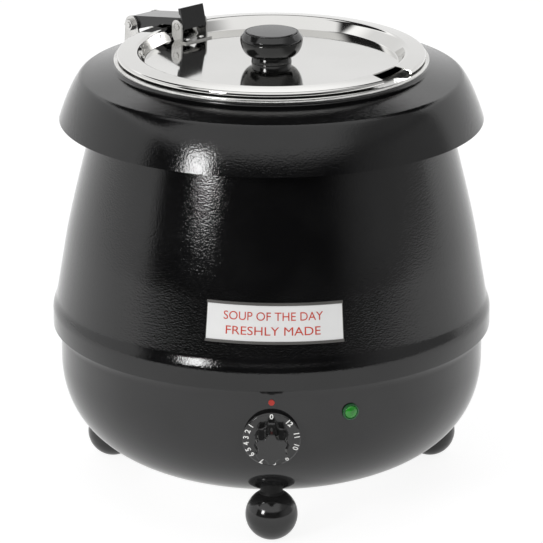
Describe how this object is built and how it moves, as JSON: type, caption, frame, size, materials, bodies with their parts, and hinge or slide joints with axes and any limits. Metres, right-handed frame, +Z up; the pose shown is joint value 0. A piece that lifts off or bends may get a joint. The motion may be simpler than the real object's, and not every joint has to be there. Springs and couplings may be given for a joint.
{
  "type": "soup kettle",
  "caption": "Electric soup kettle: bowl-shaped enamelled body on ball feet, water bath with lift-out pot, hinged notched lid, thermostat dial, pilot lamp and label holder.",
  "frame": {"origin": "on the surface the feet stand on, under the middle of the body", "axes": "+Z up, the dial and the label face -Y, +X to the right of someone facing the dial"},
  "size_m": [0.3407, 0.3707, 0.3689],
  "materials": {
    "gloss_black_enamel": "smooth gloss stoved enamel",
    "textured_black_paint": "gloss paint with a fine orange-peel texture",
    "polished_steel": "mirror-polished stainless steel",
    "satin_steel": "satin stainless or zinc-plated steel",
    "black_plastic": "glossy moulded phenolic",
    "aluminium": "cast",
    "brass": "drawn",
    "pilot_green": "translucent green lens",
    "index_red": "gloss",
    "holder_grey": "extruded, semi-matt",
    "card_white": "semi-gloss card",
    "ivory_plastic": "moulded",
    "lead_insulation": "soft"
  },
  "bodies": {
    "body": {"lower_housing": "gloss_black_enamel", "upper_housing": "textured_black_paint", "collar": "textured_black_paint", "water_pan": "satin_steel", "soup_pot": "polished_steel", "base_plate": "satin_steel", "base_plate_screws": "satin_steel", "foot_front": "black_plastic", "foot_left": "black_plastic", "foot_right": "black_plastic", "foot_studs": "satin_steel", "foot_saddles": "black_plastic", "foot_nuts": "satin_steel", "heater_plate": "aluminium", "heating_element": "satin_steel", "element_clamps": "satin_steel", "clamp_screws": "satin_steel", "thermal_cutout": "ivory_plastic", "thermostat_body": "black_plastic", "thermostat_screws": "satin_steel", "sensor_bulb": "brass", "bulb_clip": "satin_steel", "capillary_tube": "brass", "pilot_lens": "pilot_green", "pilot_housing": "ivory_plastic", "pilot_nut": "black_plastic", "index_dot": "index_red", "label_holder": "holder_grey", "label_card": "card_white", "terminal_block": "ivory_plastic", "earth_stud": "brass", "cable_gland": "black_plastic", "gland_locknut": "black_plastic", "wiring": "lead_insulation", "hinge_base": "satin_steel", "hinge_base_screws": "satin_steel", "hinge_bolt": "satin_steel", "hinge_nut": "satin_steel"},
    "arm": {"hinge_arm": "gloss_black_enamel", "spacer_sleeve": "satin_steel"},
    "lid": {"lid": "polished_steel", "lid_bracket": "satin_steel", "lid_bracket_rivets": "satin_steel", "hinge_pin": "satin_steel", "lid_knob": "black_plastic", "knob_cap": "black_plastic", "knob_screw": "satin_steel", "knob_washer": "satin_steel"},
    "dial": {"dial_knob": "black_plastic", "thermostat_shaft": "satin_steel"}
  },
  "joints": [
    {"name": "arm_swing", "type": "hinge", "parent": "body", "child": "arm", "pos_m": [-0.10073, 0.1043, 0.346], "axis": [-0.7193, -0.6947, 0], "range_deg": [0, 60]},
    {"name": "lid_tilt", "type": "hinge", "parent": "arm", "child": "lid", "pos_m": [-0.06391, 0.06618, 0.354], "axis": [-0.7193, -0.6947, 0], "range_deg": [0, 48]},
    {"name": "dial_turn", "type": "hinge", "parent": "body", "child": "dial", "pos_m": [0, -0.16357, 0.096], "axis": [0, 0.9945, 0.1045], "range_deg": [0, 315]}
  ],
  "couplings": [
    {"joint": "lid_tilt", "follows": "arm_swing", "ratio": 0.8}
  ]
}
